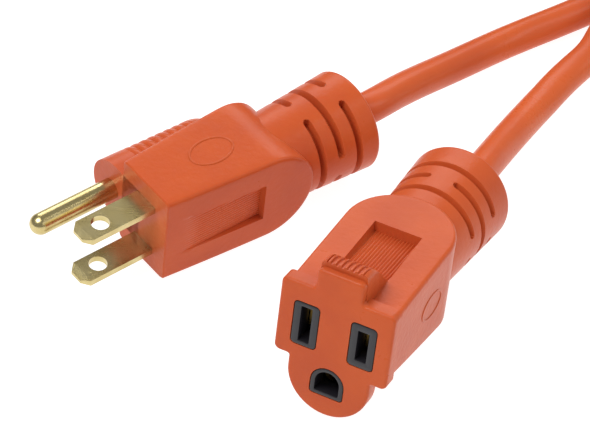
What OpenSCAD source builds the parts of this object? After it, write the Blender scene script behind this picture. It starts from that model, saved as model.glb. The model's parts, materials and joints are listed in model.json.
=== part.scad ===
// Outdoor three-wire extension cord: a moulded grounding plug, a moulded connector
// and one long cord between them, put away as a tied coil behind the two ends.
// Both ends lie on the plane z = 0. Each end is drawn in its own frame: +X out of its
// face, +Y from the blade line towards the ground pin, the origin on the face midway
// between the two flat blades. All sizes are in millimetres.

/* [Cord] */
// Outside diameter of the cord jacket
cord_d = 7.6; // [7:0.1:8]
// Layers of turns in the stored coil
coil_layers = 6; // [4:2:8]
// Turns side by side in each layer of the coil
coil_columns = 4; // [3:1:5]
// Radius of the coil at the middle of its turns
coil_mean_r = 51.2; // [48:0.2:54]

/* [Prongs] */
// Distance between the two flat blades
blade_pitch = 12.7; // [12.6:0.05:12.8]
// Width of a flat blade
blade_w = 6.35; // [6.2:0.05:6.5]
// Thickness of a flat blade
blade_t = 1.5; // [1.4:0.05:1.6]
// Length of a flat blade in front of the face
blade_l = 17.6; // [16:0.1:18.2]
// Distance of the ground pin from the blade line
pin_offset = 11.9; // [11.8:0.05:12]
// Diameter of the ground pin
pin_d = 4.76; // [4.7:0.02:4.8]
// Length of the ground pin in front of the face
pin_l = 20.8; // [20:0.1:22]

/* [Plug body] */
// Half the width of the plug body across its flat sides
plug_half_w = 11.6; // [11.2:0.1:11.7]
// Length of the straight part of the plug body
plug_straight = 26; // [25:0.5:28]
// Distance from the plug face to the end of its strain relief
plug_len = 55.5; // [55:0.5:58]
// Radius of the ridge over the ground pin
plug_lobe_r = 7.3; // [7:0.1:7.6]

/* [Connector body] */
// Half the width of the connector's front flange
flange_half_w = 12.6; // [12.4:0.1:13]
// Thickness of the connector's front flange
flange_t = 3.8; // [3.4:0.1:4.2]
// Half the width of the connector body behind the flange
conn_half_w = 11.9; // [11.6:0.1:12.2]
// Length of the straight part of the connector body, flange included
conn_straight = 27.5; // [27:0.5:29]
// Distance from the connector face to the end of its strain relief
conn_len = 61; // [60:0.5:63]
// Radius of the flange below the ground opening
conn_lobe_r = 9.1; // [9:0.1:9.3]

/* [Strain reliefs] */
// Radius of a strain relief where it leaves the body
relief_r1 = 10.9; // [10.6:0.1:11.2]
// Radius of a strain relief at its far end
relief_r2 = 11.6; // [11.4:0.1:11.8]
// Width of the slots that let a strain relief bend
slot_w = 1.4; // [1:0.1:1.6]
// Depth of those slots
slot_depth = 2.4; // [1.5:0.1:3]
// Distance between rows of slots
slot_pitch = 4.8; // [4.6:0.1:5]

/* [Hidden] */
$fn = 64;
eps = 0.01;
cord_r = cord_d / 2;

// Where each end lies: its origin, then its turn, nose-up tilt and roll in degrees
plug_at = [-26.3, 3.4, 12.9];
plug_turn = 218.8;
plug_tilt = 0;
plug_roll = -8;
conn_at = [13, -39.8, 20.5];
conn_turn = 242.7;
conn_tilt = 8;
conn_roll = -2.5;

// Profiles of the two bodies seen along Z: [x, y] down one side and back up the other
plug_side = [[0, -7.3], [-25, -9.6], [-39, -10.7], [-39, 10.4], [-25, 9.9], [0, 8.4]];
conn_side = [[0, -8.3], [-28, -10.4], [-40, -11], [-40, 11.2], [-28, 11], [0, 7.6]];
flange_top = -9.6;
flange_bottom = 8.4;
lobe_y = 11;
pin_shank_r = 2;
pin_seat = 0.5;
lobe_back = -22;
conn_lobe_slope = 5;
conn_lobe_l = 21;
tower_r = 4.1;
bare_l = 0.6;
strip_l = 1.6;

// Thumb grips: half width, and the cuts seen along Z
grip_half_w = 5.1;
plug_grip = [[-4, -7.68], [-24.5, -7.8], [-25.2, -12], [-4, -12]];
conn_grip = [[-12, -9.2], [-20, -8.6], [-28, -8.3], [-28.7, -12], [-12, -12]];
conn_tab = [[0, -8], [0, -15], [-1.6, -15.6], [-5, -14], [-8.5, -9.8], [-12, -9.3], [-12, -8]];

// Where each strain relief starts inside its body, and how far before its end the last row of slots lies
plug_relief_x = 28;
conn_relief_x = 29.5;
plug_last_slot = 5.7;
conn_last_slot = 7.7;

// Ribs across the lobe over the ground pin
rib_count = 8;
rib_start = -7.4;
rib_pitch = 2.1;
rib_rise = 0.4;

// Cores, blades and wires inside each end
plug_core_x = [-13, -3];
plug_core_h = 4.6;
plug_core_w = 9;
plug_core_low = 15.8;
plug_core_low_w = 4.2;
hole_x = 11.9;
hole_r = 2;
conn_core_x = [-24, -1.5];
conn_cap_x = [-27, -24];
crimp_r = 2.1;
crimp_l = 7;
strand_r = 1.1;
wire_r = 1.35;
wire_spread = 2.3;
jacket_gap = 1.2;
jacket_in = 20;

// Connector openings
slot_open_w = 2.4;
neutral_open_h = 8.4;
line_open_h = 7.1;
boss_w = 5.6;
boss_h = 10.4;
ground_open_r = 2.65;
ground_open_y = 12.05;
ground_open_low = 14.5;
ground_boss_r = 3.65;
ground_boss_y = 12.2;
ground_boss_low = 15.35;
carrier_h = 5.8;
carrier_w = 9.6;
chamber_h = 3.6;
chamber_w = 2;
ground_chamber_r = 3.3;
leaf_h = 3;
sleeve_r1 = 2.4;
sleeve_r2 = 3;
sleeve_split = 0.8;
contact_x = -21.5;
chamber_front = -4;
leaf_t = 0.6;

// Coil of the length that is put away
coil_at = [37.4, 190.6];
tie_t = 1.2;
tie_angle = 24;
tie_from = 140;
coil_w = coil_columns * cord_d;
coil_h = coil_layers * cord_d;
coil_r1 = coil_mean_r - coil_w / 2;
coil_r2 = coil_mean_r + coil_w / 2;
turn_r = coil_r2 - cord_r;
last_turn_r = turn_r - cord_d / 4;
top_turn_z = tie_t + coil_h - cord_r;
low_turn_z = tie_t + cord_r;

function heading(turn, tilt) = [cos(turn) * cos(tilt), sin(turn) * cos(tilt), sin(tilt)];
function on_plug(x) = plug_at + x * heading(plug_turn, plug_tilt);
function on_conn(x) = conn_at + x * heading(conn_turn, conn_tilt);

// The two free runs: inside the strain relief, across the surface, into the coil
plug_route = [
    on_plug(-plug_len + jacket_in), on_plug(-plug_len + 10), on_plug(-plug_len), on_plug(-plug_len - 6),
    [28.7, 50.4, 11], [41.8, 65.4, 6.5], [54.5, 77.4, 4], [67, 85.5, cord_r], [74, 90, cord_r],
    [82, 95.2, cord_r], [89.5, 100.8, 4], [95.5, 108.5, 6], [99, 118, 11], [100, 128, 17],
    [100, 139, 23.5], [100, 151, 30], [100, 163, 36], [100, 175.5, 40.5],
    [coil_at[0] + turn_r, coil_at[1], top_turn_z]
];
conn_route = [
    on_conn(-conn_len + jacket_in), on_conn(-conn_len + 10), on_conn(-conn_len), on_conn(-conn_len - 8),
    [51.9, 37.5, 7], [60.4, 53.8, 4], [68.7, 66.2, cord_r], [73.3, 71.8, 4.4], [78.5, 81, 7],
    [83.7, 90, 10], [86.6, 97, 12], [87.4, 103.5, 12], [86.3, 110.2, 10.6], [83.4, 116.4, 8.8],
    [78.8, 121.8, 7.2], [72.4, 126, 6], [64.9, 129, 5.2], [57, 129.9, 5],
    [coil_at[0], coil_at[1] - last_turn_r, low_turn_z]
];

// ---- placing ----

module at_plug() {
    translate(plug_at) rotate([180 + plug_roll, -plug_tilt, plug_turn]) children();
}

module at_connector() {
    translate(conn_at) rotate([-90 + conn_roll, -conn_tilt, conn_turn]) children();
}

// A box from its two corners
module span(a, b) {
    translate(a) cube(b - a);
}

// A cylinder along X from x0 to x1, off the axis by y and z
module rod(x0, x1, r, y = 0, z = 0) {
    translate([x0, y, z]) rotate([0, 90, 0]) cylinder(r = r, h = x1 - x0);
}

// A cylinder between two points
module link(a, b, r) {
    d = b - a;
    translate(a) rotate([0, acos(d[2] / norm(d)), atan2(d[1], d[0])]) cylinder(r = r, h = norm(d));
}

// A round bar from x1 back to x0 that ends there in a half ball
module dome(x0, x1, r, y) {
    translate([x1, y, 0]) rotate([0, -90, 0]) rotate_extrude() union() {
        square([r, x1 - x0]);
        translate([0, x1 - x0]) intersection() {
            circle(r = r);
            square([r, r]);
        }
    }
}

// Something drawn in XY, with its thickness along Z
module along_z(half) {
    translate([0, 0, -half]) linear_extrude(height = 2 * half) children();
}

// Something drawn in XZ, with its thickness along Y
module along_y(y0, y1) {
    translate([0, y1, 0]) rotate([90, 0, 0]) linear_extrude(height = y1 - y0) children();
}

// ---- shapes that both ends share ----

// The body: a tombstone seen along Y, cut by the side profile seen along Z
module tombstone(side, half_w, straight) {
    intersection() {
        along_z(half_w + 1) polygon(side);
        along_y(-14, 14) union() {
            translate([-straight, -half_w]) square([straight, 2 * half_w]);
            translate([-straight, 0]) circle(r = half_w);
        }
    }
}

// The flexible strain relief: a flared round body with three rows of slots.
// Neighbouring rows leave their bridges a quarter of a turn apart.
module strain_relief(from, to, last_slot) {
    chamfer = 1.2;
    row_arc = 150;
    last_row = to - last_slot;
    rotate([0, -90, 0]) difference() {
        rotate_extrude() polygon([[0, from], [relief_r1, from], [relief_r2, to - chamfer],
            [relief_r2 - chamfer, to], [0, to]]);
        for (row = [0:2]) translate([0, 0, last_row - row * slot_pitch - slot_w / 2])
            for (side = [0, 180]) rotate([0, 0, side + (row == 1 ? 0 : 90) - row_arc / 2])
                rotate_extrude(angle = row_arc) translate([relief_r2 - slot_depth, 0])
                    square([slot_depth + 1, slot_w]);
    }
}

// The bore that holds the cord, from the jacket's end to the end of the strain relief
module cord_bore(len) {
    rod(-len - 1, -len + jacket_in, cord_r);
}

// Where a conductor leaves the jacket: line, neutral and ground a third of a turn apart
function jacket_spot(len, k, s) = [
    -len + jacket_in + jacket_gap,
    wire_spread * (k == 2 ? 1 : -0.5),
    wire_spread * (k == 2 ? 0 : s * 0.866 * (k == 0 ? 1 : -1))
];

// Where its crimp ends, beside its blade or contact
function crimp_spot(x, k, s) = [
    x, k == 2 ? pin_offset : 0, k == 2 ? 0 : s * blade_pitch / 2 * (k == 0 ? 1 : -1)
];

module strands(x, k, s) {
    p = crimp_spot(x, k, s);
    rod(x - bare_l, x + crimp_l - 1, strand_r, p[1], p[2]);
}

module wire(x, len, k, s) {
    link(jacket_spot(len, k, s), crimp_spot(x - strip_l, k, s), wire_r);
}

module crimp(x, y, z) {
    difference() {
        rod(x, x + crimp_l, crimp_r, y, z);
        rod(x - 1, x + crimp_l - 1, strand_r, y, z);
    }
}

// Everything of the wiring that a moulding has to leave room for
module wiring_room(x, len, s) {
    for (k = [0:2]) {
        p = crimp_spot(x, k, s);
        rod(x - strip_l - 0.4, x + crimp_l + eps, crimp_r, p[1], p[2]);
        wire(x, len, k, s);
    }
    cord_bore(len);
}

// ---- plug ----

plug_crimp_x = plug_core_x[0] - crimp_l;
plug_s = -1;

module blade(side) {
    z = side * blade_pitch / 2;
    corner = 1.6;
    bevel = 1.7;
    difference() {
        union() {
            intersection() {
                translate([0, 0, z]) along_z(blade_t / 2) polygon([
                    [plug_core_x[0], -blade_w / 2], [blade_l - corner, -blade_w / 2],
                    [blade_l, -blade_w / 2 + corner], [blade_l, blade_w / 2 - corner],
                    [blade_l - corner, blade_w / 2], [plug_core_x[0], blade_w / 2]]);
                translate([0, 0, z]) along_y(-blade_w, blade_w) polygon([
                    [plug_core_x[0], -blade_t / 2], [blade_l - bevel, -blade_t / 2],
                    [blade_l, -blade_t / 4], [blade_l, blade_t / 4],
                    [blade_l - bevel, blade_t / 2], [plug_core_x[0], blade_t / 2]]);
            }
            crimp(plug_crimp_x, 0, z);
        }
        translate([hole_x, 0, z]) cylinder(r = hole_r, h = 2 * blade_t, center = true);
    }
}

module plug_ground_pin_shape() {
    tip = pin_l - pin_d / 2;
    rod(0, tip, pin_d / 2, pin_offset);
    rod(plug_core_x[0], eps, pin_shank_r, pin_offset);
    translate([tip, pin_offset, 0]) sphere(r = pin_d / 2);
    crimp(plug_crimp_x, pin_offset, 0);
}

// Straight room for the prongs through whatever holds them
module prong_room(x0, x1) {
    for (side = [-1, 1]) span([x0, -blade_w / 2, side * blade_pitch / 2 - blade_t / 2],
        [x1, blade_w / 2, side * blade_pitch / 2 + blade_t / 2]);
    rod(x0, x1, pin_shank_r, pin_offset);
}

module plug_core_block() {
    span([plug_core_x[0], -plug_core_h, -plug_core_w], [plug_core_x[1], plug_core_h, plug_core_w]);
    span([plug_core_x[0], plug_core_h - eps, -plug_core_low_w], [plug_core_x[1], plug_core_low, plug_core_low_w]);
}

module plug_lobe() {
    rib_w = 1;
    dome(lobe_back, 0, plug_lobe_r, lobe_y);
    span([lobe_back, 6, -plug_lobe_r], [0, lobe_y, plug_lobe_r]);
    for (i = [0:rib_count - 1]) rod(rib_start - rib_pitch * i, rib_start - rib_pitch * i + rib_w,
        plug_lobe_r + rib_rise, lobe_y);
}

module plug_overmold() {
    color("#d2673f") at_plug() difference() {
        union() {
            tombstone(plug_side, plug_half_w, plug_straight);
            plug_lobe();
            strain_relief(plug_relief_x, plug_len, plug_last_slot);
        }
        along_z(grip_half_w) polygon(plug_grip);
        plug_core_block();
        prong_room(plug_core_x[1] - eps, 1);
        rod(-pin_seat, 1, pin_d / 2 + 0.02, pin_offset);
        wiring_room(plug_crimp_x, plug_len, plug_s);
    }
}

module plug_core() {
    color("#d8d4c8") at_plug() difference() {
        plug_core_block();
        prong_room(plug_core_x[0] - 1, plug_core_x[1] + 1);
    }
}

module plug_line_blade() {
    color("#c9a44a") at_plug() blade(-1);
}

module plug_neutral_blade() {
    color("#c9a44a") at_plug() blade(1);
}

module plug_ground_pin() {
    color("#c9a44a") at_plug() plug_ground_pin_shape();
}

module plug_line_strands() {
    color("#b8693a") at_plug() strands(plug_crimp_x, 0, plug_s);
}

module plug_neutral_strands() {
    color("#b8693a") at_plug() strands(plug_crimp_x, 1, plug_s);
}

module plug_ground_strands() {
    color("#b8693a") at_plug() strands(plug_crimp_x, 2, plug_s);
}

module plug_line_wire() {
    color("#1c1c1e") at_plug() wire(plug_crimp_x, plug_len, 0, plug_s);
}

module plug_neutral_wire() {
    color("#ece9e1") at_plug() wire(plug_crimp_x, plug_len, 1, plug_s);
}

module plug_ground_wire() {
    color("#2f7a3c") at_plug() wire(plug_crimp_x, plug_len, 2, plug_s);
}

// ---- connector ----

conn_crimp_x = contact_x - 1 - crimp_l;
conn_s = 1;

// A D seen from the front: round towards the blade line, square away from it
module d_prism(x0, x1, r, y, bottom) {
    rod(x0, x1, r, y);
    span([x0, y, -r], [x1, bottom, r]);
}

// The part of the contact carrier around the ground contact
module tower(x) {
    rod(x[0], x[1], tower_r, pin_offset);
    span([x[0], carrier_h - eps, -tower_r], [x[1], pin_offset, tower_r]);
}

module connector_core_block() {
    for (side = [-1, 1]) span([conn_core_x[1], -boss_h / 2, side * blade_pitch / 2 - boss_w / 2],
        [0, boss_h / 2, side * blade_pitch / 2 + boss_w / 2]);
    d_prism(conn_core_x[1], 0, ground_boss_r, ground_boss_y, ground_boss_low);
    span([conn_core_x[0], -carrier_h, -carrier_w], [conn_core_x[1], carrier_h, carrier_w]);
    tower(conn_core_x);
}

module connector_cap_block() {
    span([conn_cap_x[0], -carrier_h, -carrier_w], [conn_cap_x[1], carrier_h, carrier_w]);
    tower(conn_cap_x);
}

// Openings in the face, and the wider chambers behind them that hold the contacts
module contact_room() {
    for (side = [-1, 1]) {
        h = side < 0 ? neutral_open_h : line_open_h;
        z = side * blade_pitch / 2;
        span([chamber_front - 1, -h / 2, z - slot_open_w / 2], [1, h / 2, z + slot_open_w / 2]);
        span([conn_core_x[0] - 1, -chamber_h, z - chamber_w], [chamber_front, chamber_h, z + chamber_w]);
    }
    d_prism(chamber_front - 1, 1, ground_open_r, ground_open_y, ground_open_low);
    rod(conn_core_x[0] - 1, chamber_front, ground_chamber_r, pin_offset);
}

// A clip of two leaves that grips a blade between them, with its crimp behind
module clip(side) {
    z = side * blade_pitch / 2;
    gap = blade_t - 0.2;
    for (leaf = [-1, 1]) span([contact_x, -leaf_h, z + leaf * (gap + leaf_t) / 2 - leaf_t / 2],
        [chamber_front - 0.6, leaf_h, z + leaf * (gap + leaf_t) / 2 + leaf_t / 2]);
    span([contact_x - 1, -leaf_h, z - gap / 2 - leaf_t], [contact_x + eps, leaf_h, z + gap / 2 + leaf_t]);
    crimp(conn_crimp_x + eps, 0, z);
}

// A split sleeve that grips the ground pin
module sleeve() {
    difference() {
        rod(contact_x - 1, chamber_front - 0.6, sleeve_r2, pin_offset);
        rod(contact_x, chamber_front + 1, sleeve_r1, pin_offset);
        span([contact_x + 2, pin_offset, -sleeve_split / 2], [chamber_front + 1, pin_offset + 4, sleeve_split / 2]);
    }
    crimp(conn_crimp_x + eps, pin_offset, 0);
}

module connector_flange() {
    round_r = 1.2;
    along_x_slab(-flange_t, 0) union() {
        translate([flange_top, -flange_half_w + round_r])
            square([flange_bottom - flange_top, 2 * (flange_half_w - round_r)]);
        translate([flange_top + round_r, -flange_half_w])
            square([flange_bottom - flange_top - 2 * round_r, 2 * flange_half_w]);
        for (y = [flange_top + round_r, flange_bottom - round_r])
            for (z = [-1, 1]) translate([y, z * (flange_half_w - round_r)]) circle(r = round_r);
        translate([lobe_y, 0]) circle(r = conn_lobe_r);
        translate([lobe_y - 5, -conn_lobe_r]) square([5, 2 * conn_lobe_r]);
    }
}

// Something drawn with its X as the part's Y and its Y as the part's Z, thick along X
module along_x_slab(x0, x1) {
    translate([x1, 0, 0]) rotate([0, -90, 0]) rotate([0, 0, 90]) mirror([0, 1, 0])
        linear_extrude(height = x1 - x0) children();
}

module connector_lobe() {
    r = conn_lobe_r - 1.2;
    y = lobe_y - 0.4;
    translate([-flange_t / 2, y, 0]) rotate([0, 0, conn_lobe_slope]) {
        dome(-conn_lobe_l, 0, r, 0);
        span([-conn_lobe_l, -4, -r], [0, 0, r]);
    }
}

module connector_overmold() {
    color("#d2673f") at_connector() difference() {
        union() {
            connector_flange();
            tombstone(conn_side, conn_half_w, conn_straight);
            connector_lobe();
            along_z(grip_half_w) polygon(conn_tab);
            strain_relief(conn_relief_x, conn_len, conn_last_slot);
        }
        along_z(grip_half_w + 0.02) polygon(conn_grip);
        connector_core_block();
        connector_cap_block();
        wiring_room(conn_crimp_x, conn_len, conn_s);
    }
}

module connector_core() {
    color("#232427") at_connector() difference() {
        connector_core_block();
        contact_room();
    }
}

module connector_core_cap() {
    color("#232427") at_connector() difference() {
        connector_cap_block();
        for (k = [0:2]) {
            p = crimp_spot(conn_crimp_x, k, conn_s);
            rod(conn_cap_x[0] - 2, conn_cap_x[1] + 1, crimp_r, p[1], p[2]);
        }
    }
}

module line_contact() {
    color("#b08d3c") at_connector() clip(1);
}

module neutral_contact() {
    color("#b08d3c") at_connector() clip(-1);
}

module ground_contact() {
    color("#b08d3c") at_connector() sleeve();
}

module connector_line_strands() {
    color("#b8693a") at_connector() strands(conn_crimp_x, 0, conn_s);
}

module connector_neutral_strands() {
    color("#b8693a") at_connector() strands(conn_crimp_x, 1, conn_s);
}

module connector_ground_strands() {
    color("#b8693a") at_connector() strands(conn_crimp_x, 2, conn_s);
}

module connector_line_wire() {
    color("#1c1c1e") at_connector() wire(conn_crimp_x, conn_len, 0, conn_s);
}

module connector_neutral_wire() {
    color("#ece9e1") at_connector() wire(conn_crimp_x, conn_len, 1, conn_s);
}

module connector_ground_wire() {
    color("#2f7a3c") at_connector() wire(conn_crimp_x, conn_len, 2, conn_s);
}

// ---- cord ----

sides = 12;

function unit(v) = v / norm(v);

// Direction of a route at point i: across its two neighbours
function along(route, i) = unit(route[min(i + 1, len(route) - 1)] - route[max(i - 1, 0)]);

// One ring of the tube, square to the route
function ring(route, i) =
    let (t = along(route, i), u = unit(cross([0, 0, 1], t)), v = cross(t, u))
    [for (k = [0:sides - 1]) route[i] + cord_r * (cos(k * 360 / sides) * u + sin(k * 360 / sides) * v)];

// A closed tube through a ring at every point of the route
module tube(route) {
    n = len(route);
    points = [for (i = [0:n - 1]) each ring(route, i)];
    walls = [for (i = [0:n - 2]) for (k = [0:sides - 1])
        [i * sides + k, (i + 1) * sides + k, (i + 1) * sides + (k + 1) % sides, i * sides + (k + 1) % sides]];
    first = [for (k = [0:sides - 1]) k];
    last = [for (k = [0:sides - 1]) n * sides - 1 - k];
    polyhedron(points, concat(walls, [first, last]));
}

module cord_plug_run() {
    color("#d2673f") tube(plug_route);
}

module cord_connector_run() {
    color("#d2673f") tube(conn_route);
}

// The outline of the wound turns, with its corners taken off
module coil_section(grow) {
    cut = cord_r * 0.6;
    r1 = coil_r1 - grow;
    r2 = coil_r2 + grow;
    z1 = tie_t - grow;
    z2 = tie_t + coil_h + grow;
    polygon([[r1 + cut, z1], [r2 - cut, z1], [r2, z1 + cut], [r2, z2 - cut],
        [r2 - cut, z2], [r1 + cut, z2], [r1, z2 - cut], [r1, z1 + cut]]);
}

module cord_coil() {
    color("#d2673f") translate([coil_at[0], coil_at[1], 0]) rotate_extrude() coil_section(0);
}

module cord_tie() {
    color("#26272a") translate([coil_at[0], coil_at[1], 0]) rotate([0, 0, tie_from])
        rotate_extrude(angle = tie_angle) difference() {
            coil_section(tie_t);
            coil_section(0);
        }
}

plug_overmold();
plug_core();
plug_line_blade();
plug_neutral_blade();
plug_ground_pin();
plug_line_strands();
plug_neutral_strands();
plug_ground_strands();
plug_line_wire();
plug_neutral_wire();
plug_ground_wire();
connector_overmold();
connector_core();
connector_core_cap();
line_contact();
neutral_contact();
ground_contact();
connector_line_strands();
connector_neutral_strands();
connector_ground_strands();
connector_line_wire();
connector_neutral_wire();
connector_ground_wire();
cord_plug_run();
cord_connector_run();
cord_coil();
cord_tie();
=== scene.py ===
import json
import math
import bpy
import bmesh
import numpy as np
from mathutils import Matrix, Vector
from mathutils.geometry import tessellate_polygon


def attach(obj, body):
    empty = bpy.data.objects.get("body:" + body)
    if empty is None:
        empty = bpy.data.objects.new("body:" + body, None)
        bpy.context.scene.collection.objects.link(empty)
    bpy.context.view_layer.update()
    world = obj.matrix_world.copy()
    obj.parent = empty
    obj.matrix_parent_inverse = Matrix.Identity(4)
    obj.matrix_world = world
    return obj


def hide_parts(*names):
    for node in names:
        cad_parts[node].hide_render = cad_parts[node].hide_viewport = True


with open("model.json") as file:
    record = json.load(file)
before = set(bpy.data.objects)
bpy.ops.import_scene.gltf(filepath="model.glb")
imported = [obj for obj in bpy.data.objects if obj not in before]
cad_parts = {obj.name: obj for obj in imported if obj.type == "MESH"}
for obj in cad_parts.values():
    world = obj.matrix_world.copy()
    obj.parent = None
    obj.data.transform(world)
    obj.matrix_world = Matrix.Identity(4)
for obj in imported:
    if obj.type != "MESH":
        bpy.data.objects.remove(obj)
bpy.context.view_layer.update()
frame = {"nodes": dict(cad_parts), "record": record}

mm = 0.001

# placing: each end has its own frame, +X out of its face, +Y towards the ground pin

ends = {
    "plugAt": (-26.3, 3.4, 12.9), "plugAngles": (172.0, 0.0, 218.8),
    "connectorAt": (13.0, -39.8, 20.5), "connectorAngles": (-92.5, -8.0, 242.7),
    "plugBack": -55.5, "connectorBack": -61.0,
}


def turned(angles):
    # rotation about x, then y, then z
    a, b, c = np.radians(angles)
    rx = np.array([[1, 0, 0], [0, math.cos(a), -math.sin(a)], [0, math.sin(a), math.cos(a)]])
    ry = np.array([[math.cos(b), 0, math.sin(b)], [0, 1, 0], [-math.sin(b), 0, math.cos(b)]])
    rz = np.array([[math.cos(c), -math.sin(c), 0], [math.sin(c), math.cos(c), 0], [0, 0, 1]])
    return rz @ ry @ rx


plugFrame = (turned(ends["plugAngles"]), np.array(ends["plugAt"]))
connectorFrame = (turned(ends["connectorAngles"]), np.array(ends["connectorAt"]))


def placed(points, where):
    # millimetres in an end's own frame to metres in the row frame
    turn, at = where
    return (np.asarray(points, float).reshape(-1, 3) @ turn.T + at) * mm


# camera, floor and light

viewpoint = {"target": (5.4, 18.5, 0.0), "elevation": 41.0, "distance": 652.7, "lens": 183.05}


def addCamera(v):
    up = math.radians(v["elevation"])
    target = Vector(v["target"]) * mm
    back = Vector((0, -math.cos(up), math.sin(up))) * v["distance"] * mm
    data = bpy.data.cameras.new("camera")
    data.lens = v["lens"]
    data.sensor_width = 36
    data.clip_start = 0.01
    data.clip_end = 20
    camera = bpy.data.objects.new("camera", data)
    bpy.context.collection.objects.link(camera)
    camera.location = target + back
    camera.rotation_euler = back.to_track_quat("Z", "Y").to_euler()
    bpy.context.scene.camera = camera


addCamera(viewpoint)
print("camera placed")


# shader maths

class Sock:
    # wraps one output socket so that shader maths reads like plain arithmetic
    def __init__(self, kit, out):
        self.kit = kit
        self.out = out

    def _math(self, op, *args):
        return self.kit.math(op, *args)

    def __add__(self, o):
        return self._math("ADD", self, o)

    __radd__ = __add__

    def __sub__(self, o):
        return self._math("SUBTRACT", self, o)

    def __rsub__(self, o):
        return self._math("SUBTRACT", o, self)

    def __mul__(self, o):
        return self._math("MULTIPLY", self, o)

    __rmul__ = __mul__

    def sin(self):
        return self._math("SINE", self)


class Kit:
    # one material's node tree, with short ways to add to it
    def __init__(self, name):
        self.material = bpy.data.materials.new(name)
        self.material.use_nodes = True
        self.tree = self.material.node_tree
        self.shader = self.tree.nodes["Principled BSDF"]

    def node(self, kind, settings=None, inputs=None):
        n = self.tree.nodes.new(kind)
        for key, value in (settings or {}).items():
            setattr(n, key, value)
        for key, value in (inputs or {}).items():
            self.feed(n.inputs[key], value)
        return n

    def feed(self, socket, value):
        if isinstance(value, Sock):
            self.tree.links.new(value.out, socket)
        else:
            socket.default_value = value

    def math(self, op, a, b=0.0):
        n = self.node("ShaderNodeMath", {"operation": op}, {0: a, 1: b})
        return Sock(self, n.outputs[0])

    def coords(self):
        return Sock(self, self.node("ShaderNodeTexCoord").outputs["Object"])

    def noise(self, scale, detail=3.0, rough=0.5, where=None):
        n = self.node("ShaderNodeTexNoise", {}, {"Scale": scale, "Detail": detail, "Roughness": rough,
                                                 "Vector": where or self.coords()})
        return Sock(self, n.outputs["Fac"])

    def mix(self, amount, a, b):
        n = self.node("ShaderNodeMix", {"data_type": "RGBA"}, {0: amount, 6: a, 7: b})
        return Sock(self, n.outputs[2])

    def ramp(self, value, low, high):
        n = self.node("ShaderNodeMapRange", {}, {"Value": value, "From Min": low, "From Max": high})
        return Sock(self, n.outputs[0])

    def bump(self, height, distance, strength=1.0):
        n = self.node("ShaderNodeBump", {}, {"Height": height, "Distance": distance, "Strength": strength})
        self.tree.links.new(n.outputs[0], self.shader.inputs["Normal"])

    def set(self, **values):
        names = {"color": "Base Color", "rough": "Roughness", "metal": "Metallic", "ior": "IOR",
                 "sheen": "Sheen Weight", "subsurface": "Subsurface Weight", "subsurfaceScale": "Subsurface Scale",
                 "specular": "Specular IOR Level", "emission": "Emission Color", "glow": "Emission Strength"}
        for key, value in values.items():
            self.feed(self.shader.inputs[names[key]], value)


def rgb(r, g, b):
    # a colour given as screen values, as linear light
    def lin(c):
        c /= 255
        return c / 12.92 if c <= 0.04045 else ((c + 0.055) / 1.055) ** 2.4
    return (lin(r), lin(g), lin(b), 1.0)


print("shader kit ready")

# mesh helpers

def gridFaces(rows, cols, closed, start=0):
    # quads between neighbouring rows, and from the last column back to the first if closed
    i = np.arange(rows - 1)[:, None]
    j = np.arange(cols if closed else cols - 1)[None, :]
    a = i * cols + j
    b = i * cols + (j + 1) % cols
    return (np.stack([a, b, b + cols, a + cols], -1) + start).reshape(-1, 4).tolist()


def addPiece(name, points, faces, material, where, sharp=32.0):
    # points in an end's frame (mm), or in metres already when where is None
    co = np.asarray(points, float).reshape(-1, 3) if where is None else placed(points, where)
    mesh = bpy.data.meshes.new(name)
    mesh.from_pydata(co.tolist(), [], faces)
    bm = bmesh.new()
    bm.from_mesh(mesh)
    bmesh.ops.remove_doubles(bm, verts=bm.verts, dist=2e-6)
    bmesh.ops.dissolve_degenerate(bm, edges=bm.edges, dist=1e-6)
    bmesh.ops.recalc_face_normals(bm, faces=bm.faces)
    bm.to_mesh(mesh)
    bm.free()
    mesh.shade_smooth()
    mesh.set_sharp_from_angle(angle=math.radians(sharp))
    obj = bpy.data.objects.new(name, mesh)
    bpy.context.collection.objects.link(obj)
    mesh.materials.append(material)
    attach(obj, "root")
    return obj


class Shell:
    # collects grids and flat caps into one list of points and faces
    def __init__(self):
        self.points = []
        self.faces = []
        self.count = 0

    def grid(self, points, closed):
        # points is rows by columns by 3
        points = np.asarray(points, float)
        rows, cols = points.shape[:2]
        self.faces += gridFaces(rows, cols, closed, self.count)
        self.points.append(points.reshape(-1, 3))
        self.count += rows * cols

    def cap(self, ring):
        # one flat face across a closed ring
        ring = np.asarray(ring, float)
        self.faces.append(list(range(self.count, self.count + len(ring))))
        self.points.append(ring)
        self.count += len(ring)

    def plate(self, outline, holes, x):
        # a flat face at x inside an outline of (y, z) points, with holes
        loops = [np.asarray(loop, float) for loop in [outline] + list(holes)]
        flat = [[Vector((p[0], p[1], 0)) for p in loop] for loop in loops]
        self.faces += [[self.count + k for k in t] for t in tessellate_polygon(flat)]
        every = np.concatenate(loops)
        self.points.append(np.column_stack([np.full(len(every), x), every]))
        self.count += len(every)

    def every(self):
        return np.concatenate(self.points)


def rings(outlines, xs):
    # (y, z) outlines of equal length, each at its own x, as a grid
    return np.stack([np.column_stack([np.full(len(o), x), o]) for o, x in zip(outlines, xs)])


def smoothStep(a, b, x):
    t = np.clip((np.asarray(x, float) - a) / (b - a), 0, 1)
    return t * t * (3 - 2 * t)


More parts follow.
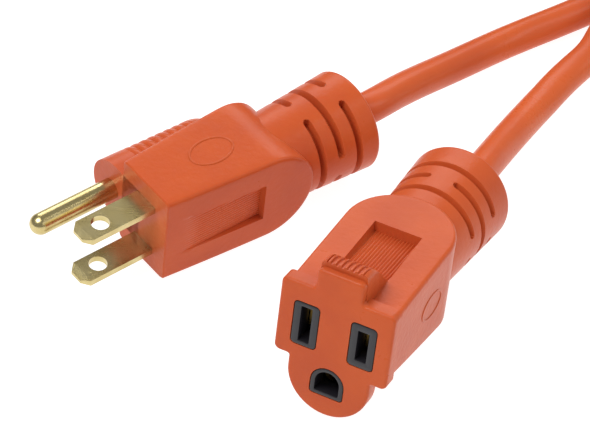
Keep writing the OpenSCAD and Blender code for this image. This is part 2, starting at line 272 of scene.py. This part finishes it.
def roundedOutline(corners, radii, n=6):
    # a closed outline through the corners, each turned into an arc of its radius
    corners = np.asarray(corners, float)
    out = []
    for i, r in enumerate(radii):
        p, a, b = corners[i], corners[i - 1], corners[(i + 1) % len(corners)]
        u = (a - p) / np.linalg.norm(a - p)
        v = (b - p) / np.linalg.norm(b - p)
        half = math.acos(np.clip(u @ v, -1, 1)) / 2
        if r <= 0:
            out.append(p)
            continue
        reach = r / math.tan(half)
        middle = p + (u + v) / np.linalg.norm(u + v) * r / math.sin(half)
        s = p + u * reach - middle
        e = p + v * reach - middle
        sweep = math.pi - 2 * half
        sign = 1.0 if s[0] * e[1] - s[1] * e[0] > 0 else -1.0
        for t in np.linspace(0, sweep, n + 1) * sign:
            out.append(middle + [s[0] * math.cos(t) - s[1] * math.sin(t), s[0] * math.sin(t) + s[1] * math.cos(t)])
    return np.array(out)


def inset(outline, by):
    # every point moved inwards across the line through its neighbours
    outline = np.asarray(outline, float)
    along = np.roll(outline, -1, 0) - np.roll(outline, 1, 0)
    along /= np.linalg.norm(along, axis=1)[:, None]
    area = np.sum(outline[:, 0] * np.roll(outline[:, 1], -1) - outline[:, 1] * np.roll(outline[:, 0], -1))
    normal = np.column_stack([-along[:, 1], along[:, 0]]) * (1 if area > 0 else -1)
    return outline + normal * by


# cord: one length from the plug, through the stored coil, to the connector

cordSize = {
    "diameter": 7.6, "length": 7620.0, "coilAt": (37.4, 190.6), "innerTurn": 39.8, "turnsPerLayer": 3, "layers": 6,
    "tie": 1.2, "lastTurns": 2.75, "lay": 95.0, "ripple": 0.07, "around": 24, "inside": 20.0,
    "step": 1.5, "perTurn": 40, "dip": 2.0,
    "plugRoute": [(28.7, 50.4, 11), (41.8, 65.4, 6.5), (54.5, 77.4, 4), (67, 85.5, 3.8), (74, 90, 3.8),
                  (82, 95.2, 3.8), (89.5, 100.8, 4), (95.5, 108.5, 6), (99, 118, 11), (100, 128, 17),
                  (100, 139, 23.5), (100, 151, 30), (100, 163, 36), (100, 175.5, 40.5), (100, 190.6, 43)],
    "connectorRoute": [(51.9, 37.5, 7), (60.4, 53.8, 4), (68.7, 66.2, 3.8), (73.3, 71.8, 4.4), (78.5, 81, 7),
                       (83.7, 90, 10), (86.6, 97, 12), (87.4, 103.5, 12), (86.3, 110.2, 10.6), (83.4, 116.4, 8.8),
                       (78.8, 121.8, 7.2), (72.4, 126, 6), (64.9, 129, 5.2), (57, 129.9, 5), (37.4, 129.9, 5)],
}


def smoothPath(points, step):
    # a cubic through every point, its slope at a point set by the two neighbours, evenly resampled
    p = np.asarray(points, float)
    chord = np.concatenate([[0], np.cumsum(np.linalg.norm(np.diff(p, axis=0), axis=1))])
    slope = np.gradient(p, chord, axis=0)
    fine = np.linspace(0, chord[-1], int(chord[-1] / 0.25))
    k = np.clip(np.searchsorted(chord, fine, side="right") - 1, 0, len(p) - 2)
    h = (chord[k + 1] - chord[k])[:, None]
    t = (fine - chord[k])[:, None] / h
    curve = ((2 * t**3 - 3 * t**2 + 1) * p[k] + (t**3 - 2 * t**2 + t) * h * slope[k]
             + (3 * t**2 - 2 * t**3) * p[k + 1] + (t**3 - t**2) * h * slope[k + 1])
    run = np.concatenate([[0], np.cumsum(np.linalg.norm(np.diff(curve, axis=0), axis=1))])
    even = np.linspace(0, run[-1], max(int(run[-1] / step), 2))
    return np.column_stack([np.interp(even, run, curve[:, i]) for i in range(3)])


def coilPath(c):
    # from the top: in along one layer, down, out along the next, with turns one diameter apart
    d = c["diameter"]
    inner = c["innerTurn"]
    outer = inner + d * c["turnsPerLayer"]
    parts = []
    angle = 0.0
    for layer in range(c["layers"]):
        turns = c["lastTurns"] if layer == c["layers"] - 1 else c["turnsPerLayer"]
        u = np.linspace(0, turns, int(turns * c["perTurn"]) + 1)
        r = outer - d * u if layer % 2 == 0 else inner + d * u
        top = c["tie"] + d * (c["layers"] - layer - 0.5)
        z = np.full(len(u), top)
        parts.append(np.column_stack([r, angle + u, z]))
        angle += turns
        if layer < c["layers"] - 1:
            # one more turn steps down to the next layer, and dips inwards where it is the innermost
            u = np.linspace(0, 1, c["perTurn"] + 1)[1:-1]
            r = inner - c["dip"] * np.sin(np.pi * u) if layer % 2 == 0 else np.full(len(u), outer)
            z = top - d * np.sin(np.pi * u / 2)
            parts.append(np.column_stack([r, angle + u, z]))
            angle += 1
    r, turn, z = np.concatenate(parts).T
    return np.column_stack([c["coilAt"][0] + r * np.cos(2 * np.pi * turn),
                            c["coilAt"][1] + r * np.sin(2 * np.pi * turn), z])


def endPoint(where, x):
    return where[1] + where[0] @ np.array([x, 0.0, 0.0])


def cordPath(c):
    # straight through each strain relief first, then along the floor
    p, q, inside, half = ends["plugBack"], ends["connectorBack"], c["inside"], c["inside"] / 2
    plugRun = [endPoint(plugFrame, x) for x in (p + inside, p + half, p, p - 6)] + c["plugRoute"]
    connectorRun = [endPoint(connectorFrame, x) for x in (q + inside, q + half, q, q - 8)] + c["connectorRoute"]
    a = smoothPath(plugRun, c["step"])
    b = smoothPath(connectorRun, c["step"])[::-1]
    path = np.concatenate([a[:-1], coilPath(c), b[1:]])
    path[:, 2] = np.maximum(path[:, 2], c["diameter"] / 2)
    return path


def tube(path, radiusAt, around):
    # a ring of points square to the path at each of its points, its side kept level with the floor
    step = np.gradient(path, axis=0)
    step /= np.linalg.norm(step, axis=1)[:, None]
    side = np.cross(step, [0, 0, 1.0])
    side /= np.linalg.norm(side, axis=1)[:, None]
    up = np.cross(side, step)
    a = np.linspace(0, 2 * np.pi, around, endpoint=False)
    run = np.concatenate([[0], np.cumsum(np.linalg.norm(np.diff(path, axis=0), axis=1))])
    r = radiusAt(run[:, None], a[None, :])[..., None]
    return path[:, None] + r * (np.cos(a)[None, :, None] * side[:, None] + np.sin(a)[None, :, None] * up[:, None])


print("helpers ready")

# finishes

vinylLook = {"base": (198, 88, 44), "dull": (188, 81, 44), "rough": 0.31, "grain": 900.0, "blotch": 70.0,
             "bump": 0.00006}
cordLook = {"base": (205, 95, 50), "dull": (195, 88, 50), "rough": 0.3, "grain": 700.0, "blotch": 45.0,
            "bump": 0.00004}


def vinyl(name, v):
    k = Kit(name)
    blotch = k.noise(v["blotch"], 4.0, 0.55)
    grain = k.noise(v["grain"], 2.0, 0.5)
    k.set(color=k.mix(k.ramp(blotch, 0.35, 0.7), rgb(*v["base"]), rgb(*v["dull"])),
          rough=blotch * 0.14 + grain * 0.1 + (v["rough"] - 0.12), ior=1.5, specular=0.15,
          subsurface=0.06, subsurfaceScale=0.003)
    k.bump(grain + blotch * 0.8, v["bump"])
    return k.material


def metal(name, base, dull, rough, across):
    # fine drawn lines along one direction of the row frame
    k = Kit(name)
    lines = k.node("ShaderNodeMapping", {}, {"Vector": k.coords(), "Rotation": (0, 0, across[0]),
                                             "Scale": (1, across[1], across[1])})
    streak = k.noise(260.0, 3.0, 0.6, Sock(k, lines.outputs[0]))
    cloud = k.noise(240.0, 3.0, 0.5)
    k.set(color=k.mix(k.ramp(cloud, 0.35, 0.75), rgb(*base), rgb(*dull)), metal=1.0,
          rough=streak * 0.12 + cloud * 0.1 + (rough - 0.1))
    k.bump(streak, 0.00002, 0.6)
    return k.material


def plastic(name, base, dull, rough, scale=500.0):
    k = Kit(name)
    speck = k.noise(scale, 3.0, 0.6)
    k.set(color=k.mix(speck, rgb(*base), rgb(*dull)), rough=speck * 0.15 + (rough - 0.07))
    k.bump(speck, 0.00003)
    return k.material


def woven(name, base, dull, pitch):
    # two crossed sets of threads, each a sine across the strap
    k = Kit(name)
    parts = k.node("ShaderNodeSeparateXYZ", {}, {0: k.coords()})
    x, y, z = (Sock(k, parts.outputs[i]) for i in range(3))
    rate = 2 * math.pi / pitch
    weave = ((x + z) * rate).sin() * ((y - z) * rate).sin()
    k.set(color=k.mix(k.ramp(weave, -1.0, 1.0), rgb(*dull), rgb(*base)), rough=0.85, sheen=0.3)
    k.bump(weave, 0.0003)
    return k.material


finishes = {
    "overmold": vinyl("orangeVinyl", vinylLook),
    "jacket": vinyl("orangeJacket", cordLook),
    "prongs": metal("prongBrass", (210, 194, 142), (188, 168, 108), 0.24, (math.radians(-38.8), 14.0)),
    "contacts": metal("contactBrass", (196, 160, 84), (160, 124, 60), 0.3, (math.radians(-62.7), 14.0)),
    "premold": plastic("naturalPremold", (206, 200, 184), (190, 182, 164), 0.5),
    "contact_carrier": plastic("blackCarrier", (33, 31, 36), (24, 22, 27), 0.3),
    "copper": metal("copperStrands", (200, 120, 84), (170, 92, 62), 0.32, (0.0, 10.0)),
    "line_insulation": plastic("blackInsulation", (26, 26, 28), (38, 38, 41), 0.42),
    "neutral_insulation": plastic("whiteInsulation", (228, 226, 219), (214, 211, 203), 0.42),
    "ground_insulation": plastic("greenInsulation", (40, 116, 62), (32, 98, 52), 0.42),
    "strap": woven("strapWeave", (44, 45, 49), (22, 22, 25), 0.0011),
}
slotOf = {row["node"]: row["material_slot"] for row in frame["record"]["subparts"]}
for nodeName, nodeObject in frame["nodes"].items():
    nodeObject.data.materials.clear()
    nodeObject.data.materials.append(finishes[slotOf[nodeName]])
print("finishes ready")

# the cord

line = cordPath(cordSize)


def jacketRadius(run, angle):
    # round, with the faint three-sided ripple of the twisted conductors inside
    c = cordSize
    return c["diameter"] / 2 - c["ripple"] + c["ripple"] * np.cos(3 * angle - 2 * np.pi * run / c["lay"])


cordShell = Shell()
cordGrid = tube(line, jacketRadius, cordSize["around"])
cordShell.grid(cordGrid, True)
cordShell.cap(cordGrid[0])
cordShell.cap(cordGrid[-1])
cordObject = addPiece("cord", cordShell.every() * mm, cordShell.faces, finishes["jacket"], None, 60)
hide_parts("cord_plug_run", "cord_connector_run", "cord_coil")
freeLength = float(np.sum(np.linalg.norm(np.diff(line, axis=0), axis=1)))
print("cord length in mm", round(freeLength, 1))

# the strap around the coil

strap = {"middle": 152.0, "half": 9.5, "thick": 1.1, "corner": 3.6, "columns": 15, "edge": 0.3}


def strapShell(s, c):
    # a rounded band around the wound section, carried along a short arc of the coil
    d = c["diameter"]
    r1 = c["innerTurn"] - d / 2
    r2 = c["innerTurn"] + d * c["turnsPerLayer"] + d / 2
    z1 = c["tie"]
    z2 = z1 + d * c["layers"]
    inner = roundedOutline([(r1, z1), (r2, z1), (r2, z2), (r1, z2)], [s["corner"]] * 4, 8)
    outer = roundedOutline([(r1 - s["thick"], 0), (r2 + s["thick"], 0), (r2 + s["thick"], z2 + s["thick"]),
                            (r1 - s["thick"], z2 + s["thick"])], [s["corner"] + s["thick"]] * 4, 8)
    shell = Shell()
    width = 2 * s["half"] / (r1 + r2) * 2
    turns = np.radians(s["middle"]) + np.linspace(-width / 2, width / 2, s["columns"])
    column = np.arange(s["columns"])
    edge = np.minimum(1.0, np.minimum(column, column[::-1]) / 2 + s["edge"])

    def row(outline, a):
        x = c["coilAt"][0] + outline[:, 0] * math.cos(a)
        y = c["coilAt"][1] + outline[:, 0] * math.sin(a)
        return np.column_stack([x, y, outline[:, 1]])

    rows = [row(inner + (outer - inner) * e, a) for a, e in zip(turns, edge)]
    rows += [row(inner, a) for a in turns[::-1]] + [rows[0]]
    shell.grid(np.stack(rows), True)
    return shell


strapMesh = strapShell(strap, cordSize)
strapObject = addPiece("strap", strapMesh.every() * mm, strapMesh.faces, finishes["strap"], None, 50)
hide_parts("cord_tie")
print("strap made")

# floor and light

floorLook = {"size": 6.0, "below": 0.0002, "glow": 0.94, "world": 0.3,
             "tone": (150, 150, 151), "shade": (144, 144, 146)}
floorKit = Kit("paleFloor")
floorNoise = floorKit.noise(3.0, 2.0, 0.5)
floorKit.set(color=floorKit.mix(floorNoise, rgb(*floorLook["tone"]), rgb(*floorLook["shade"])), rough=0.9,
             specular=0.1, emission=(1, 1, 1, 1), glow=floorLook["glow"])
half = floorLook["size"] / 2
floorMesh = bpy.data.meshes.new("floor")
floorMesh.from_pydata([(-half, -half, 0), (half, -half, 0), (half, half, 0), (-half, half, 0)], [], [(0, 1, 2, 3)])
floorMesh.materials.append(floorKit.material)
floor = bpy.data.objects.new("floor", floorMesh)
floor.location.z = -floorLook["below"]
bpy.context.collection.objects.link(floor)

lights = [
    # name, place in mm, aim in mm, width and height in mm, watts
    ("keyPanel", (-260, -120, 620), (0, 10, 5), (420, 420), 3.5),
    ("fillPanel", (520, -420, 420), (0, 0, 10), (500, 400), 0.5),
    ("glintPanel", (330, 40, 260), (20, 20, 10), (50, 320), 0.35),
    ("backPanel", (60, 620, 420), (0, 20, 10), (700, 300), 2.0),
]


def addLight(name, place, aim, size, watts):
    data = bpy.data.lights.new(name, "AREA")
    data.shape = "RECTANGLE"
    data.size, data.size_y = size[0] * mm, size[1] * mm
    data.energy = watts
    obj = bpy.data.objects.new(name, data)
    bpy.context.collection.objects.link(obj)
    obj.location = Vector(place) * mm
    obj.rotation_euler = (Vector(place) - Vector(aim)).to_track_quat("Z", "Y").to_euler()


for one in lights:
    addLight(*one)

world = bpy.data.worlds.new("studio")
bpy.context.scene.world = world
world.use_nodes = True
world.node_tree.nodes["Background"].inputs["Color"].default_value = (1, 1, 1, 1)
world.node_tree.nodes["Background"].inputs["Strength"].default_value = floorLook["world"]
bpy.context.scene.view_settings.view_transform = "Standard"
print("floor and light ready")

# the two mouldings: a flat-sided block, half round at the back in plan, a lobe over the ground pin, a strain relief

plugShape = {
    "halfWidth": 11.6, "straight": 26.0, "fillet": 0.9, "top": (-7.3, 0.1102, 0.000568),
    "bottom": (8.4, -0.075, -0.0005), "stripHalf": 4.9, "columns": 99, "front": 0.0,
    "rows": [0, -0.25, -1.5] + list(np.linspace(-4, -24.5, 22)) + [-24.75, -25.3, -26],
    "recess": (-4.0, -24.5, 1.5), "ridge": 0.06, "ridgePitch": 0.7,
    "lobe": (11.0, 0.015, 7.3, 0.02, -22.2), "lobeTop": 2.0, "ribs": (-5.8, -22.1, 2.1, 0.55),
    "relief": (-28.0, ends["plugBack"], 9.85, 11.6), "slots": (-40.2, -45.0, -49.8), "hole": 4.0,
    "oval": (-17.0, 0.4, 5.2, 3.4, 0.28), "frontMiddle": (0, 0.55, 0), "frontScale": (1, 0.972, 0.979),
}
connectorShape = {
    "halfWidth": 11.9, "straight": 27.5, "fillet": 0.9, "top": (-8.0, 0.075, 0.0),
    "bottom": (7.4, -0.115, -0.00065), "stripHalf": 5.15, "columns": 104, "front": -1.5,
    "rows": list(-1.5 - 10.5 * np.linspace(0, 1, 34) ** 1.3) + list(np.linspace(-12.8, -27.2, 19)) + [-27.45, -27.5],
    "ramp": (-7.9, -8.1, 8.0, 3.2), "tabCorner": 1.5, "tabRib": 0.5, "ribHalf": 4.15, "tabPitch": 1.2,
    "tabRibs": (-1.4, -1.5, -8.6, -9.2), "tabHigh": (-9.0, -3.0), "tabSquare": 3, "ridgeFrom": (-8.0, -9.0),
    "ridge": 0.15, "ridgePitch": 0.7, "recessBack": -27.3,
    "lobe": (10.6, 0.087, 7.9, 0.0, -22.9), "lobeTop": 6.6, "relief": (-29.5, ends["connectorBack"], 10.05, 11.6),
    "slots": (-43.7, -48.5, -53.3), "hole": 4.0, "oval": (-21.0, 0.2, 4.4, 2.9, 0.28),
}
slotShape = {"width": 1.4, "depth": 2.4, "sweep": 150.0, "soft": 0.12, "around": 240, "rim": 1.2, "fineReach": 1.1,
             "fineStep": 0.1, "mouth": (0.5, 0.1, -0.1), "mouthDepth": (0.0, 0.15, 3.0)}
bodyDetail = {"beside": 0.2, "across": 9, "bend": 7, "side": 9, "under": 17, "round": 19}
lobeDetail = {"around": 41, "ribbedRows": 180, "plainRows": 30, "endRows": 10, "ribPower": 0.6, "ribShare": 0.9,
              "tip": 0.2}
ovalDetail = {"along": 61, "round": 10, "height": 0.6}


def curveAt(c, x):
    return c[0] + c[1] * x + c[2] * x * x


def plugStrip(b, x, z):
    # how far the recess lies below the face, deeper towards the back, with fine ridges along it
    start, end, depth = b["recess"]
    t = np.clip((start - x) / (start - end), 0, 1)
    inside = (np.abs(z) <= b["stripHalf"] + 1e-6) & (x >= end - 1e-6)
    ridges = b["ridge"] * np.cos(2 * np.pi * z / b["ridgePitch"]) * smoothStep(0.0, 0.25, t)
    return inside * (depth * t + ridges * (t > 0))


def connectorStrip(b, x, z):
    # the tab's back is half a bell, an exponential of minus the distance to a power, running out into the recess
    level, rise, reachBack, power = b["ramp"]
    away = np.maximum(b["front"] - x, 0) / reachBack
    floor = level + rise * np.exp(-away ** power)
    high = smoothStep(*b["tabHigh"], x)
    corner = b["tabCorner"]
    reach = np.clip((np.abs(z) - b["stripHalf"] + corner) / corner, 0, 1)
    floor = floor + high * corner * (1 - np.sqrt(1 - reach * reach))
    r0, r1, r2, r3 = b["tabRibs"]
    coarse = smoothStep(r0, r1, x) * smoothStep(r3, r2, x) * (np.abs(z) < b["ribHalf"])
    ribs = np.tanh(b["tabSquare"] * np.cos(2 * np.pi * z / b["tabPitch"]))
    floor = floor - b["tabRib"] * coarse * (0.5 + 0.5 * ribs - 1)
    fine = smoothStep(*b["ridgeFrom"], x)
    floor = floor + b["ridge"] * fine * np.cos(2 * np.pi * z / b["ridgePitch"])
    inside = (np.abs(z) <= b["stripHalf"] + 1e-6) & (x >= b["recessBack"] - 1e-6)
    return inside * (floor - curveAt(b["top"], x))


def bodyGrid(b, strip):
    # columns go round the section; rows go back along the straight part, then round the back about its middle
    w, f, d = b["halfWidth"], b["fillet"], bodyDetail
    outer = np.linspace(b["stripHalf"] + d["beside"], w - f, d["across"])
    across = np.concatenate([-outer[::-1], np.linspace(-b["stripHalf"], b["stripHalf"], b["columns"]), outer])
    bend = np.linspace(0, np.pi / 2, d["bend"])[1:]
    back = bend[::-1]
    down = np.linspace(0, 1, d["side"])[1:-1]
    under = np.linspace(w - f, f - w, d["under"])
    bulge, drop = w - f + f * np.sin(bend), f * (1 - np.cos(bend))
    z = np.concatenate([across, bulge, w + 0 * down, bulge[::-1], under, -bulge, -w + 0 * down, -bulge[::-1]])
    share = np.concatenate([0 * across, 0 * bend, down, 1 + 0 * back, 1 + 0 * under, 1 + 0 * bend, down[::-1],
                            0 * back])
    off = np.concatenate([0 * across, drop, f * (1 - 2 * down), -drop[::-1], 0 * under, -drop,
                          f * (1 - 2 * down[::-1]), drop[::-1]])
    onTop = (np.arange(len(z)) < len(across)) * 1.0
    grid = []
    for x in b["rows"]:
        grid.append((np.full(len(z), float(x)), z))
    for a in np.linspace(0, np.pi / 2, d["round"])[1:]:
        grid.append((-b["straight"] - np.abs(z) * math.sin(a), z * math.cos(a)))
    rows = []
    for k, (x, side) in enumerate(grid):
        top, bottom = curveAt(b["top"], x), curveAt(b["bottom"], x)
        deep = strip(b, x, z) * onTop if k < len(b["rows"]) else 0.0
        y = top + share * (bottom - top) + off + deep
        rows.append(np.column_stack([x, y, side]))
    return np.stack(rows)


def lobeGrid(b, ribs):
    # half round below, straight sides up into the block, scalloped across where ribs are given
    middle, rise, radius, taper, back = b["lobe"]
    d = lobeDetail
    a = np.linspace(-np.pi / 2, np.pi / 2, d["around"])
    rows = []
    for x in np.linspace(b["front"], back, d["ribbedRows"] if ribs else d["plainRows"]):
        r = radius + taper * x
        c = middle + rise * x
        if ribs and ribs[1] < x < ribs[0]:
            scallop = abs(math.sin(math.pi * (x - ribs[0]) / ribs[2])) ** d["ribPower"]
            r += ribs[3] * (scallop - 1) * d["ribShare"]
        y = np.concatenate([[b["lobeTop"]], c + r * np.cos(a), [b["lobeTop"]]])
        z = np.concatenate([[-r], r * np.sin(a), [r]])
        rows.append(np.column_stack([np.full(len(y), x), y, z]))
    for t in np.linspace(0, np.pi / 2, d["endRows"])[1:]:
        # a quarter ball closes the back
        small = max(r * math.cos(t), d["tip"])
        y = np.concatenate([[b["lobeTop"]], c + small * np.cos(a), [b["lobeTop"]]])
        z = np.concatenate([[-small], small * np.sin(a), [small]])
        rows.append(np.column_stack([np.full(len(y), back - r * math.sin(t)), y, z]))
    return np.stack(rows)


def reliefGrid(b, s):
    # a cone with three rows of cross slots, each slot a stadium shape cut straight down, and a rounded end
    start, end, r0, r1 = b["relief"]
    xs = [start]
    for centre in sorted(b["slots"], reverse=True):
        last = centre - s["fineReach"] - s["fineStep"] / 10
        xs += list(np.arange(centre + s["fineReach"], last, -s["fineStep"]))
    xs = np.array(sorted(set(np.round(xs + [end + s["rim"]], 3)), reverse=True))
    a = np.linspace(0, 2 * np.pi, s["around"], endpoint=False)
    x, angle = np.meshgrid(xs, a, indexing="ij")
    r = r0 + (r1 - r0) * (x - start) / (end - start)
    deep = np.zeros_like(r)
    for k, centre in enumerate(b["slots"]):
        for half in (0, 1):
            # arcs of the first and last rows are centred on +y and -y, those of the middle row on +z and -z
            middle = math.pi * half + (math.pi / 2 if k == 1 else 0.0)
            apart = (angle - middle + np.pi) % (2 * np.pi) - np.pi
            reach = math.radians(s["sweep"] / 2) * r1 - s["width"] / 2
            along = np.maximum(np.abs(apart) * r1 - reach, 0)
            gap = np.hypot(along, x - centre) - s["width"] / 2
            deep = np.maximum(deep, s["depth"] * smoothStep(s["soft"], 0.0, gap))
    r = r - deep
    grid = np.stack([x, r * np.cos(angle), r * np.sin(angle)], -1)
    tailRows = []
    for t in np.linspace(0, np.pi / 2, 7)[1:]:
        tailRows.append((end + s["rim"] * (1 - math.sin(t)), r1 - s["rim"] * (1 - math.cos(t))))
    tailRows += [(end + deeper, b["hole"] + wider) for deeper, wider in zip(s["mouthDepth"], s["mouth"])]
    tail = np.stack([np.column_stack([np.full(len(a), px), pr * np.cos(a), pr * np.sin(a)]) for px, pr in tailRows])
    return np.concatenate([grid, tail])


def ovalGrid(b, side):
    # a plain raised oval on a flat side: a thin ring, round in section, half sunk in the face
    x0, y0, a, c, thick = b["oval"]
    turn = np.linspace(0, 2 * np.pi, ovalDetail["along"])
    turn[-1] = 0.0
    bend = np.linspace(0, 2 * np.pi, ovalDetail["round"], endpoint=False)
    t, u = np.meshgrid(turn, bend, indexing="ij")
    x = x0 + (a + thick * np.cos(u)) * np.cos(t)
    y = y0 + (c + thick * np.cos(u)) * np.sin(t)
    return np.stack([x, y, side * (b["halfWidth"] + ovalDetail["height"] * thick * np.sin(u))], -1)


plugShell = Shell()
plugBody = bodyGrid(plugShape, plugStrip)
middle = np.array(plugShape["frontMiddle"])  # the first row drawn in a little, so that the front edge is eased
plugBody[0] = (plugBody[0] - middle) * plugShape["frontScale"] + middle
plugShell.grid(plugBody, True)
plugShell.cap(plugBody[0])
plugLobe = lobeGrid(plugShape, plugShape["ribs"])
plugShell.grid(plugLobe, True)
plugShell.cap(plugLobe[0])
plugShell.cap(plugLobe[-1])
plugRelief = reliefGrid(plugShape, slotShape)
plugShell.grid(plugRelief, True)
plugShell.cap(plugRelief[0])
plugShell.cap(plugRelief[-1])
for side in (-1, 1):
    plugShell.grid(ovalGrid(plugShape, side), True)
plugObject = addPiece("plugMoulding", plugShell.every(), plugShell.faces, finishes["overmold"], plugFrame)
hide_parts("plug_overmold")
print("plug moulding", len(plugObject.data.polygons))

# the connector's face: a plate with a lobe and a thumb tab, and three black inserts let into it

flangeShape = {"top": -9.6, "bottom": 8.4, "halfWidth": 12.6, "back": -3.8, "corner": 1.3, "edge": 0.6,
               "lobeY": 11.0, "lobeR": 9.1, "tabTop": -14.5, "tabHalf": 5.15, "gap": 0.15,
               "backEdge": 0.4, "lap": 0.02}
insertShape = {"pitch": 12.7, "neutral": (2.4, 8.4), "line": (2.4, 7.1), "boss": (5.6, 10.4), "corner": 0.9,
               "ground": (12.05, 2.65, 14.5), "groundBoss": (12.2, 3.65, 15.35), "chamber": (4.0, 7.2),
               "groundChamber": 3.3, "lip": 0.2, "skin": 0.6, "wall": -4.0, "back": -24.0, "ease": 0.06,
               "clear": 1.0}


def flangeOutline(s, tab):
    t, b, w, r, low = s["top"], s["bottom"], s["halfWidth"], s["lobeR"], s["lobeY"] + s["lobeR"]
    corners = [(t, w), (b, w), (b, r), (low, r), (low, -r), (b, -r), (b, -w), (t, -w)]
    radii = [s["corner"], s["corner"], 0.5, r, r, 0.5, s["corner"], s["corner"]]
    if tab:
        h = s["tabHalf"]
        corners = [(t, -h), (s["tabTop"], -h), (s["tabTop"], h), (t, h)] + corners
        radii = [0.8, 1.1, 1.1, 0.8] + radii
    return roundedOutline(corners, radii, 14)


def boxOutline(middle, wide, high, corner):
    a, b = high / 2, wide / 2
    corners = [(-a, middle - b), (-a, middle + b), (a, middle + b), (a, middle - b)]
    return roundedOutline(corners, [corner] * 4)


def archOutline(middle, r, bottom, corner):
    corners = [(middle - r, -r), (middle - r, r), (bottom, r), (bottom, -r)]
    return roundedOutline(corners, [r, r, corner, corner])


def insertOutlines(s):
    half = s["pitch"] / 2
    y, r, low = s["groundBoss"]
    gy, gr, gLow = s["ground"]
    return [
        (boxOutline(-half, *s["boss"], s["corner"]), boxOutline(-half, *s["neutral"], 0.15),
         boxOutline(-half, s["chamber"][0], s["neutral"][1] + 0.4, 0.3)),
        (boxOutline(half, *s["boss"], s["corner"]), boxOutline(half, *s["line"], 0.15),
         boxOutline(half, *s["chamber"], 0.3)),
        (archOutline(y, r, low, 0.7), archOutline(gy, gr, gLow, 0.3), archOutline(gy, s["groundChamber"], low, 0.6)),
    ]


def addRim(shell, outline, edge, back):
    # the outside of a plate: a quarter-round front edge, then straight back
    rows = [(edge * (1 - math.cos(t)), -edge * (1 - math.sin(t))) for t in np.linspace(np.pi / 2, 0, 6)]
    rows = [(inset(outline, by), x) for by, x in rows] + [(outline, back)]
    shell.grid(rings([o for o, x in rows], [x for o, x in rows]), True)


inserts = insertOutlines(insertShape)
holes = [inset(boss, -flangeShape["gap"]) for boss, opening, chamber in inserts]
connectorShell = Shell()
tabbed = flangeOutline(flangeShape, True)
plain = flangeOutline(flangeShape, False)
edge, middleX, backX = flangeShape["edge"], connectorShape["front"], flangeShape["back"]
pocketEnd = insertShape["back"] - insertShape["clear"]
# neighbouring shells overlap a little and share no points
tabBack, plateFront = middleX - flangeShape["lap"], middleX + flangeShape["lap"]


def addPocket(outline, x0, x1, closed):
    # the wall of an opening, with a floor if it is closed
    walls = rings([outline, outline], [x0, x1])
    connectorShell.grid(walls, True)
    if closed:
        connectorShell.cap(walls[1])


addRim(connectorShell, tabbed, edge, tabBack)
connectorShell.plate(inset(tabbed, edge), holes, 0.0)
connectorShell.plate(tabbed, holes, tabBack)
backEdge = flangeShape["backEdge"]
plainBack = inset(plain, backEdge)
connectorShell.grid(rings([plain, plain, plainBack], [plateFront, backX + backEdge, backX]), True)
connectorShell.plate(plain, holes, plateFront)
connectorShell.plate(plainBack, holes, backX)
for hole in holes:
    addPocket(hole, 0.0, tabBack, False)
    addPocket(hole, plateFront, backX, False)
    addPocket(hole, middleX, pocketEnd, True)
connectorBody = bodyGrid(connectorShape, connectorStrip)
connectorShell.grid(connectorBody, True)
connectorShell.plate(connectorBody[0][:, 1:], holes[:2], middleX)
connectorLobe = lobeGrid(connectorShape, None)
connectorShell.grid(connectorLobe, True)
connectorShell.plate(connectorLobe[0][:, 1:], holes[2:], middleX)
connectorShell.cap(connectorLobe[-1])
connectorRelief = reliefGrid(connectorShape, slotShape)
connectorShell.grid(connectorRelief, True)
connectorShell.cap(connectorRelief[0])
connectorShell.cap(connectorRelief[-1])
for side in (-1, 1):
    connectorShell.grid(ovalGrid(connectorShape, side), True)
connectorObject = addPiece("connectorMoulding", connectorShell.every(), connectorShell.faces, finishes["overmold"],
                           connectorFrame)
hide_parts("connector_overmold")

insertShell = Shell()
lip, wall, back, ease = insertShape["lip"], insertShape["wall"], insertShape["back"], insertShape["ease"]
for boss, opening, chamber in inserts:
    shellOut = inset(chamber, -insertShape["skin"])
    rows = [(shellOut, back - insertShape["skin"]), (shellOut, wall), (boss, wall), (boss, -lip),
            (inset(boss, ease), -ease), (inset(boss, lip), 0.0), (inset(opening, -lip), 0.0),
            (inset(opening, -ease), -ease), (opening, -lip), (opening, wall), (chamber, wall), (chamber, back)]
    sleeve = rings([o for o, x in rows], [x for o, x in rows])
    insertShell.grid(sleeve, True)
    insertShell.cap(sleeve[-1])
    insertShell.cap(sleeve[0])
insertObject = addPiece("connectorInserts", insertShell.every(), insertShell.faces, finishes["contact_carrier"],
                        connectorFrame)
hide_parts("connector_core")
print("connector", len(connectorObject.data.polygons), len(insertObject.data.polygons))

# softened edges on the two blades

prongEdge = {"width": 0.15, "segments": 2, "angle": 40.0}
for bladeName in ("plug_line_blade", "plug_neutral_blade"):
    soft = frame["nodes"][bladeName].modifiers.new("edge", "BEVEL")
    soft.width = prongEdge["width"] * mm
    soft.segments = prongEdge["segments"]
    soft.limit_method = "ANGLE"
    soft.angle_limit = math.radians(prongEdge["angle"])

cordPlugExit = (endPoint(plugFrame, ends["plugBack"]) * mm).tolist()
